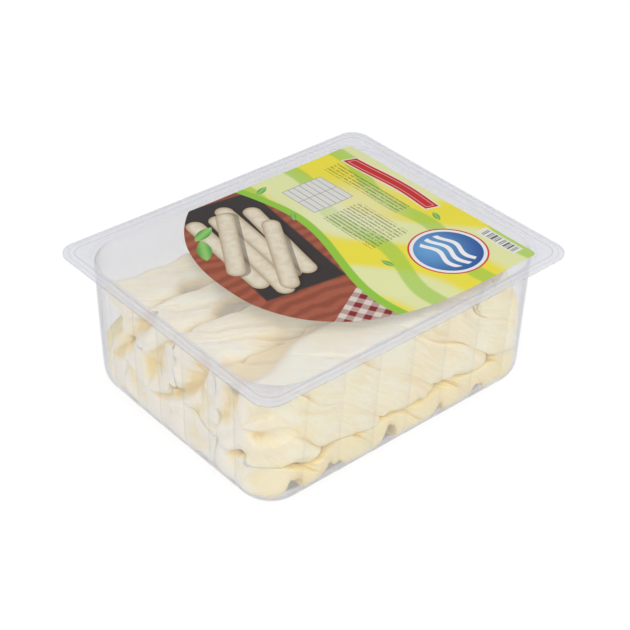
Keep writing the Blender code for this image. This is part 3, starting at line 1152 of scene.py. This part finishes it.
cheese = []
for index in range(4):
    lower = (LOWER_BRAIDS[index], LOWER_SEAMS[index:index + 2], lower_floor, lower_ceiling)
    upper = (UPPER_BRAIDS[index], UPPER_SEAMS[index:index + 2], upper_floor, top_height)
    cheese.append(make_braid("lower", index, *lower, 20 + index))
    cheese.append(make_braid("upper", index, *upper, 40 + index))
triangles = sum(len(piece.data.loops) - 2 * len(piece.data.polygons) for piece in cheese)
print("braids:", len(cheese), "with", triangles, "triangles")

# %% [markdown]
# ## Finishes
# Clear plastic this thin bends no light that can be seen, so it is a straight-through surface
# with a faint cool tint, a little haze, and a reflection that grows at a slant. That is also far
# quicker to render than true refraction through a dozen skins. Where the film is welded to the
# rim, a milky band and two thin lines show.

# %% Clear plastic
def clear_plastic(name, tint, edge_tint, haze, haze_tone, roughness, weld=False):
    """Thin clear plastic that looks darker where it is seen along its skin, as at an edge."""
    net = Net(name)
    slant = net.node("ShaderNodeLayerWeight", {}, {"Blend": 0.5}, output=1)
    through = net.node("ShaderNodeBsdfTransparent", {}, {"Color": (*tint, 1.0)})
    along = net.node("ShaderNodeBsdfTransparent", {}, {"Color": (*edge_tint, 1.0)})
    grey = (haze_tone * 0.985, haze_tone * 0.99, haze_tone * 1.02, 1.0)
    scattered = net.node("ShaderNodeBsdfDiffuse", {}, {"Color": grey})
    passed_on = net.node("ShaderNodeBsdfTranslucent", {}, {"Color": grey})
    milky = net.mix(0.5, scattered, passed_on)
    mirrored = {"Color": (1.0, 1.0, 1.0, 1.0), "Roughness": roughness}
    shine = net.node("ShaderNodeBsdfGlossy", {}, mirrored)
    clear = net.mix(slant ** 4.5, through, along)
    if weld:
        band, lines = weld_marks(net)
        clear = net.mix(lines * 0.35, clear, along)
        haze = band * 0.05 + haze
    body = net.mix(haze, clear, milky)
    return net.finish(net.mix(slant ** 5.0 * 0.9 + 0.035, body, shine))


def weld_marks(net):
    """Masks of the welded band round the film's edge and of the thin lines along it."""
    x, y, _ = net.parts(net.place())
    past_x = (abs(x) - (HALF_X - 12 * MM)).most(0.0)
    past_y = (abs(y) - (HALF_Y - 12 * MM)).most(0.0)
    wander = net.noise(net.place(), 70.0, 2.0) * (1.6 * MM)
    inset = 12.8 * MM - wander - (past_x * past_x + past_y * past_y).root()
    band = inset.step(SHELF + 0.3 * MM, SHELF - 0.6 * MM)
    first = abs(inset - 2.4 * MM).step(0.40 * MM, 0.10 * MM)
    second = abs(inset - 5.0 * MM).step(0.45 * MM, 0.15 * MM)
    return band, (first * 0.6).most(second)


WALL_TINT = (0.942, 0.943, 0.955)
FILM_TINT = (0.928, 0.930, 0.943)
EDGE_TINT = (0.58, 0.58, 0.61)
CUT_TINT = (0.88, 0.88, 0.90)
tray_plastic = clear_plastic("tray_plastic", WALL_TINT, EDGE_TINT, 0.030, 0.88, 0.06)
film_plastic = clear_plastic("film_plastic", FILM_TINT, EDGE_TINT, 0.18, 0.91, 0.10, weld=True)
cut_edge = clear_plastic("cut_edge", CUT_TINT, EDGE_TINT, 0.10, 0.80, 0.20)
seal_haze = clear_plastic("seal_haze", WALL_TINT, WALL_TINT, 0.10, 0.92, 0.15)
print("plastics:", tray_plastic.name, film_plastic.name, cut_edge.name, seal_haze.name)

# %% [markdown]
# Curd is milky: light goes a few millimetres in and comes out again, which softens every edge, so the
# surface scatters below its skin. Its colour is a cream that varies in streaks along the fibres. Shade
# is painted into it: a deeper yellow in creases, hollows and valleys, and brown-grey in the deepest
# gaps. It is whiter where it is pressed flat, and deeper yellow on the lower layer and below the top.
# The three attributes laid down with the braids say where that is, and the grain's own coordinates
# stretch the noise into fibres.

# %% Cheese finish
# Tones of the curd. The crease tone and the darkest tone are painted shade.
FREE_PALE = shade(255, 244, 218)
FREE_DEEP = shade(250, 230, 184)
DEEP_YELLOW = shade(247, 227, 160)
CREASE_SHADE = shade(234, 209, 142)
DEEP_SHADE = shade(186, 172, 138)
PRESSED_FLAT = shade(245, 238, 224)
SCATTER = 2.2 * MM


def cheese_finish():
    """Fresh white curd: cream where it is free, paler where it is pressed, with painted shade in
    creases.
    """
    net = Net("fresh_curd")
    crease = net.node("ShaderNodeAttribute", {"attribute_name": "crease"}, output=2)
    pressed = net.node("ShaderNodeAttribute", {"attribute_name": "pressed"}, output=2)
    yellower = net.node("ShaderNodeAttribute", {"attribute_name": "yellower"}, output=2)
    grain = net.node("ShaderNodeAttribute", {"attribute_name": "grain"}, output=1)
    place = net.place()
    broad = net.noise(place, 38.0, 3.0)
    streak = net.noise(grain, 190.0, 4.0, 0.6) * 0.5 + net.noise(grain, 430.0, 3.0, 0.6) * 0.5
    colour = net.blend((broad * 0.4 + streak * 0.6).step(0.42, 0.58), FREE_PALE, FREE_DEEP)
    colour = net.blend(yellower, colour, DEEP_YELLOW)
    # Painted shade: a deeper yellow in creases, hollows and valleys, brown-grey in the deepest gaps.
    colour = net.blend(crease.step(0.10, 1.1) * 0.8, colour, CREASE_SHADE)
    colour = net.blend(crease.step(1.0, 1.7) * 0.8, colour, DEEP_SHADE)
    colour = net.blend(pressed * 0.85, colour, PRESSED_FLAT)
    fibre = net.noise(grain, 520.0, 4.0, 0.65)
    pits = net.noise(place, 500.0, 3.0)
    height = fibre * 0.7 + pits * 0.3
    normal = net.bump(height, 0.90 * MM, 0.9)
    surface = net.node("ShaderNodeBsdfPrincipled", {"subsurface_method": "RANDOM_WALK"}, {
        "Base Color": colour, "Roughness": fibre * 0.2 + 0.36, "Normal": normal,
        "Subsurface Weight": 1.0, "Subsurface Radius": (1.0, 0.88, 0.60),
        "Subsurface Scale": SCATTER, "Coat Weight": 0.15, "Coat Roughness": 0.3})
    return net.finish(surface)


curd = cheese_finish()
for piece in cheese:
    piece.data.materials.append(curd)
print("finish of the cheese:", curd.name)

# %% [markdown]
# The tray has three finishes, chosen by the row of its profile: the wall's clear plastic, a
# hazier one where the seal has roughened the rim, and a darker one for the cut edge and for the
# narrow rows that show as thin lines.

# %% Finishes on the tray and the film
for plastic in (tray_plastic, cut_edge, seal_haze):
    tray.data.materials.append(plastic)
for face in tray.data.polygons:
    row = face.index // POINTS_ROUND
    face.material_index = 2 if row < SEAL_ROWS else 0
    if row < CUT_ROWS or row in SEAL_LINES:
        face.material_index = 1
film.data.materials.append(film_plastic)
print("finishes on the tray:", len(tray.data.materials))

# %% [markdown]
# The print is all areas of flat colour and simple shapes, as a small printer would set them: a
# picture field with a wooden board, a slate and cheese sticks, and beside it a field of yellow
# and lime waves with a round badge, a ribbon, an empty table and grey lines where small print
# would be. Each shape is a mask from a distance in millimetres, and each is laid on the last.

# %% Shapes on the print
class Page:
    """The panel's plane in millimetres, and shapes on it as masks from 0 to 1."""

    def __init__(self, net):
        self.net = net
        x, y, _ = net.parts(net.place())
        self.x = x / MM
        self.y = y / MM

    def turned(self, x, y, degrees):
        """Distances along and across a line through a point."""
        cos, sin = math.cos(math.radians(degrees)), math.sin(math.radians(degrees))
        east, north = self.x - x, self.y - y
        return east * cos + north * sin, north * cos - east * sin

    def box(self, x0, x1, y0, y1, soft=0.25):
        """A rectangle with its sides along the page."""
        gap_x = abs(self.x - (x0 + x1) / 2) - (x1 - x0) / 2
        gap_y = abs(self.y - (y0 + y1) / 2) - (y1 - y0) / 2
        return gap_x.most(gap_y).step(soft, -soft)

    def away(self, x, y):
        """Distance from a point."""
        east, north = self.x - x, self.y - y
        return (east * east + north * north).root()

    def disc(self, x, y, radius, soft=0.25):
        return self.away(x, y).step(radius + soft, radius - soft)

    def stick(self, x, y, degrees, half, radius):
        """Mask of a round-ended stick and the share of its radius from its middle line."""
        along, across = self.turned(x, y, degrees)
        past = (abs(along) - half).most(0.0)
        off = (past * past + across * across).root() / radius
        return off.step(1.03, 0.97), off

    def leaf(self, x, y, degrees, length, width):
        """A pointed leaf: where two circles overlap."""
        along, across = self.turned(x, y, degrees)
        bend = (length * length - width * width) / (4 * width)
        radius = bend + width / 2
        reach = (along * along + (abs(across) + bend) * (abs(across) + bend)).root()
        return reach.step(radius + 0.2, radius - 0.2), across


page_edges = (SWEEP_LEFT, PRINT_RIGHT, PRINT_FRONT, PRINT_BACK)
print("the page's edges in mm:", [round(edge / MM, 1) for edge in page_edges])

# %% [markdown]
# Waves come from the sine of a place that is itself bent by another sine, which keeps them from
# looking ruled. Small print is only grey: lines from a repeated distance, broken into words by
# noise.

# %% The wave field and the small print
def wave_field(net, page):
    """Yellow and lime waves that run across the page, paler towards its middle."""
    bend = ((page.y * 0.055 + 1.0).sine() * 1.1 + page.x * 0.115 + page.y * 0.045).sine()
    ripple = ((page.y * 0.09).sine() * 0.7 + page.x * 0.21 - page.y * 0.03 + 2.0).sine()
    colour = net.blend(bend.step(-0.5, 0.4), shade(236, 240, 176), shade(246, 232, 66))
    colour = net.blend(ripple.step(0.45, 0.75) * 0.75, colour, shade(168, 212, 74))
    middle = page.away(38, 18).step(34, 8)
    return net.blend(middle * 0.6, colour, shade(243, 243, 205))


def small_print(net, page, colour):
    """An empty table, grey lines in place of small print, and plain bars on white."""
    table = page.box(22, 47, 26, 50)
    rows = (page.x - 22).repeated(25 / 7).step(0.30, 0.12)
    columns = (page.y - 26).repeated(12).step(0.26, 0.10)
    frame_line = table - page.box(22.4, 46.6, 26.4, 49.6)
    colour = net.blend(table, colour, shade(232, 231, 226))
    colour = net.blend(table * rows.most(columns).most(frame_line) * 0.65, colour, shade(90, 90, 84))
    words = net.noise(net.place(), 900.0, 1.0).step(0.36, 0.46)
    for x0, x1, y0, y1 in ((22, 46, -14, 20), (53, 63, 2, 54)):
        block = page.box(x0, x1, y0, y1, 0.1)
        lines = (page.x - x0).repeated(2.2).step(0.62, 0.42)
        colour = net.blend(block * lines * words * 0.55, colour, shade(70, 84, 40))
    patch = page.box(70.5, 77.0, -58, -34)
    bars = (page.y * 4.1 + (page.y * 1.7).sine() * 1.6).sine().step(-0.1, 0.3)
    colour = net.blend(patch, colour, shade(240, 240, 234))
    return net.blend(page.box(71.4, 76.2, -56.5, -35.5) * bars * 0.85, colour, shade(40, 40, 42))


print("wave field and small print are ready")

# %% [markdown]
# The badge is a stack of round masks from the largest to the smallest, each with its own colour.
# The ribbon has one distance from its edge, and every line on it is a step of that distance.

# %% Badge and ribbon
def badge(net, page, colour, x, y, radius):
    """A blue roundel with a white and a red ring and three white waves."""
    colour = net.blend(page.disc(x, y, radius), colour, shade(214, 48, 44))
    colour = net.blend(page.disc(x, y, radius - 0.9), colour, shade(246, 246, 246))
    light = page.away(x - 5, y + 6).step(radius * 1.4, 0.0)
    blue = net.blend(light, shade(34, 84, 160), shade(104, 166, 220))
    colour = net.blend(page.disc(x, y, radius - 2.6), colour, blue)
    wave = (page.y * 0.32).sine() * 1.6
    inner = page.disc(x, y, radius - 5.5)
    for offset in (-5.5, 0.0, 5.5):
        line = abs(page.x - x - offset - wave).step(1.5, 1.1)
        colour = net.blend(inner * line, colour, shade(250, 250, 250))
    return colour


def ribbon(net, page, colour, x0, x1, y0, y1):
    """A plain red ribbon with a thin pale line inside its edge."""
    sway = (page.y * 0.085).sine() * 1.1
    gap = abs(page.x - sway - (x0 + x1) / 2) - (x1 - x0) / 2
    ends = abs(page.y + page.x * 0.35 - (y0 + y1) / 2 - x0 * 0.35) - (y1 - y0) / 2
    edge = gap.most(ends)
    colour = net.blend(edge.step(0.9, 0.5), colour, shade(250, 240, 225))
    colour = net.blend(edge.step(0.2, -0.2), colour, shade(204, 32, 40))
    line = (edge + 1.5).step(0.25, 0.0) * (edge + 1.5).step(-0.45, -0.2)
    return net.blend(line, colour, shade(240, 170, 160))


print("badge and ribbon are ready")

# %% [markdown]
# The picture field is laid down from the back to the front like paper cut-outs: wood, slate,
# cloth, then stick after stick, each with a soft shadow beside it and a tone that darkens
# towards its edges, which is enough to make it look round.

# %% The picture field
# Middle in mm, turn in degrees and half length in mm.
STICKS = ((-33, 24, 84, 27), (-24, 18, 80, 31), (-15, 24, 83, 29), (-6, 19, 79, 26),
          (-26, 30, 58, 22), (-13, 10, 60, 24))
# Middle, turn, length and width of each leaf.
LEAVES = ((-39, 33, 60, 17, 7), (-31, 44, 20, 14, 6), (15, 57, 20, 9, 3.4),
          (66, -12, 70, 8, 3.0), (20, -27, 100, 8, 3.0), (12, 30, 60, 7, 2.6))


def picture_field(net, page):
    """A board with a slate, cheese sticks and a checked cloth."""
    grain = net.noise(net.place(), 60.0, 4.0)
    streak = (page.y * 0.9 + grain * 9.0 + page.x * 0.06).sine()
    wood = net.blend(streak.step(-1.0, 1.0), shade(150, 74, 52), shade(172, 92, 66))
    along, across = page.turned(-16, 22, 82)
    slate_edge = (abs(along) - 41).most(abs(across) - 21)
    colour = net.blend(slate_edge.step(0.8, -0.8), wood, shade(52, 45, 44))
    east, north = page.turned(-8, -44, 28)
    cloth = north.step(9.0, 8.4)
    stripes = [(side.repeated(7.0) - 1.75).step(-0.2, 0.2) * 0.5 for side in (east, north)]
    check = stripes[0] + stripes[1]
    colour = net.blend(cloth, colour, net.blend(check, shade(226, 214, 204), shade(140, 30, 36)))
    wrinkle = net.noise(net.place(), 260.0, 3.0).step(0.4, 0.65)
    for x, y, degrees, half in STICKS:
        mask, off = page.stick(x, y, degrees, half, 4.6)
        shadow, _ = page.stick(x + 1.2, y - 1.0, degrees, half, 5.0)
        body = net.blend((off * off * off).least(1.0), shade(238, 228, 206), shade(176, 154, 122))
        body = net.blend(wrinkle * 0.25, body, shade(190, 168, 136))
        colour = net.blend(shadow * 0.55, colour, shade(40, 30, 26))
        colour = net.blend(mask, colour, body)
    return colour


def leaves(net, page, colour):
    """Pointed green leaves, each with a paler middle line."""
    for x, y, degrees, length, width in LEAVES:
        mask, across = page.leaf(x, y, degrees, length, width)
        green = net.blend(abs(across).step(0.0, width * 0.5), shade(150, 206, 112), shade(84, 164, 64))
        colour = net.blend(mask, colour, green)
    return colour


print("sticks:", len(STICKS), "leaves:", len(LEAVES))

# %% [markdown]
# Printed film lets part of the light through to the cheese. That part is taken off the ink's colour,
# and the white backing on the underside gives it off again as painted light, a faint even glow. So the
# ink itself stays one plain glossy surface, which is simple to render and to export.

# %% Ink and its backing
PASSED_SHARE = 0.38              # of the light on the ink
PASSED_LIGHT = (0.30, 0.27, 0.16)


def print_finish():
    """Glossy ink, darker by the light that passes through it."""
    net = Net("printed_ink")
    page = Page(net)
    field = wave_field(net, page)
    border = page.x - (page.y / 24 + 0.4).sine() * 8.0
    field = net.blend(border.step(8.0, 7.2), field, shade(150, 206, 62))
    colour = net.blend(border.step(3.4, 2.8), field, picture_field(net, page))
    colour = small_print(net, page, colour)
    colour = badge(net, page, colour, 49, -37, 19)
    colour = ribbon(net, page, colour, 67, 74, -4, 54)
    colour = leaves(net, page, colour)
    colour = net.blend(PASSED_SHARE, colour, (0.0, 0.0, 0.0))
    ink = net.node("ShaderNodeBsdfPrincipled", {}, {
        "Base Color": colour, "Roughness": 0.22, "Specular IOR Level": 0.25,
        "Coat Weight": 0.15, "Coat Roughness": 0.1})
    return net.finish(ink)


def glowing_print_backing():
    """The white ink under the colours, with a painted glow that stands in for the light passed to the
    cheese below.
    """
    net = Net("white_backing_glow")
    return net.finish(net.node("ShaderNodeBsdfPrincipled", {}, {
        "Base Color": (0.33, 0.32, 0.30, 1.0), "Roughness": 0.5,
        "Emission Color": (*PASSED_LIGHT, 1.0), "Emission Strength": 1.0}))


panel.data.materials.append(print_finish())
panel.data.materials.append(glowing_print_backing())
print("finishes on the panel:", ", ".join(finish.name for finish in panel.data.materials))

# %% [markdown]
# ## The floor
# The pack stands on a plain white table. The even glow of such a table hides most shadows, and only
# right under the pack, seen through the clear foot, is it darker and takes on the colour of the cheese.
# So the floor glows by itself, with a painted shadow below the tray: a rounded patch of darker,
# cheese-coloured glow.

# %% Floor
TABLE_WHITE = (1.0, 1.0, 1.0)
PAINTED_SHADOW_UNDER_PACK = (0.42, 0.395, 0.33)
SHADOW_PATCH_INSET = 38.5 * MM


def make_floor():
    """A wide plain glowing sheet under the pack, with a painted shadow below the tray."""
    mesh = bpy.data.meshes.new("floor")
    reach = 3.0
    corners = [(-reach, -reach, 0), (reach, -reach, 0), (reach, reach, 0), (-reach, reach, 0)]
    mesh.from_pydata([(x, y, -0.2 * MM) for x, y, _ in corners], [], [(0, 1, 2, 3)])
    floor = bpy.data.objects.new("floor", mesh)
    bpy.context.scene.collection.objects.link(floor)
    net = Net("white_floor")
    x, y, _ = net.parts(net.place())
    past_x = (abs(x) - (HALF_X - SHADOW_PATCH_INSET)).most(0.0)
    past_y = (abs(y) - (HALF_Y - SHADOW_PATCH_INSET)).most(0.0)
    outside = (past_x * past_x + past_y * past_y).root().step(18.0 * MM, 20.5 * MM)
    # Painted shadow: the glow is darker and cheese-coloured under the pack.
    floor_glow_with_shadow = net.blend(outside, PAINTED_SHADOW_UNDER_PACK, TABLE_WHITE)
    matte = net.node("ShaderNodeBsdfPrincipled", {}, {
        "Base Color": (0.10, 0.10, 0.10, 1.0), "Roughness": 0.9, "Specular IOR Level": 0.0,
        "Emission Color": floor_glow_with_shadow, "Emission Strength": 0.90})
    mesh.materials.append(net.finish(matte))
    return floor


print("floor:", make_floor().name)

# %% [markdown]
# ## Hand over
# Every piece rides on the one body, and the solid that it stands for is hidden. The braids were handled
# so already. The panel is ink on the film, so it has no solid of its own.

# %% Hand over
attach(tray, "root")
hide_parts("tray")
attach(film, "root")
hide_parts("film")
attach(panel, "root")
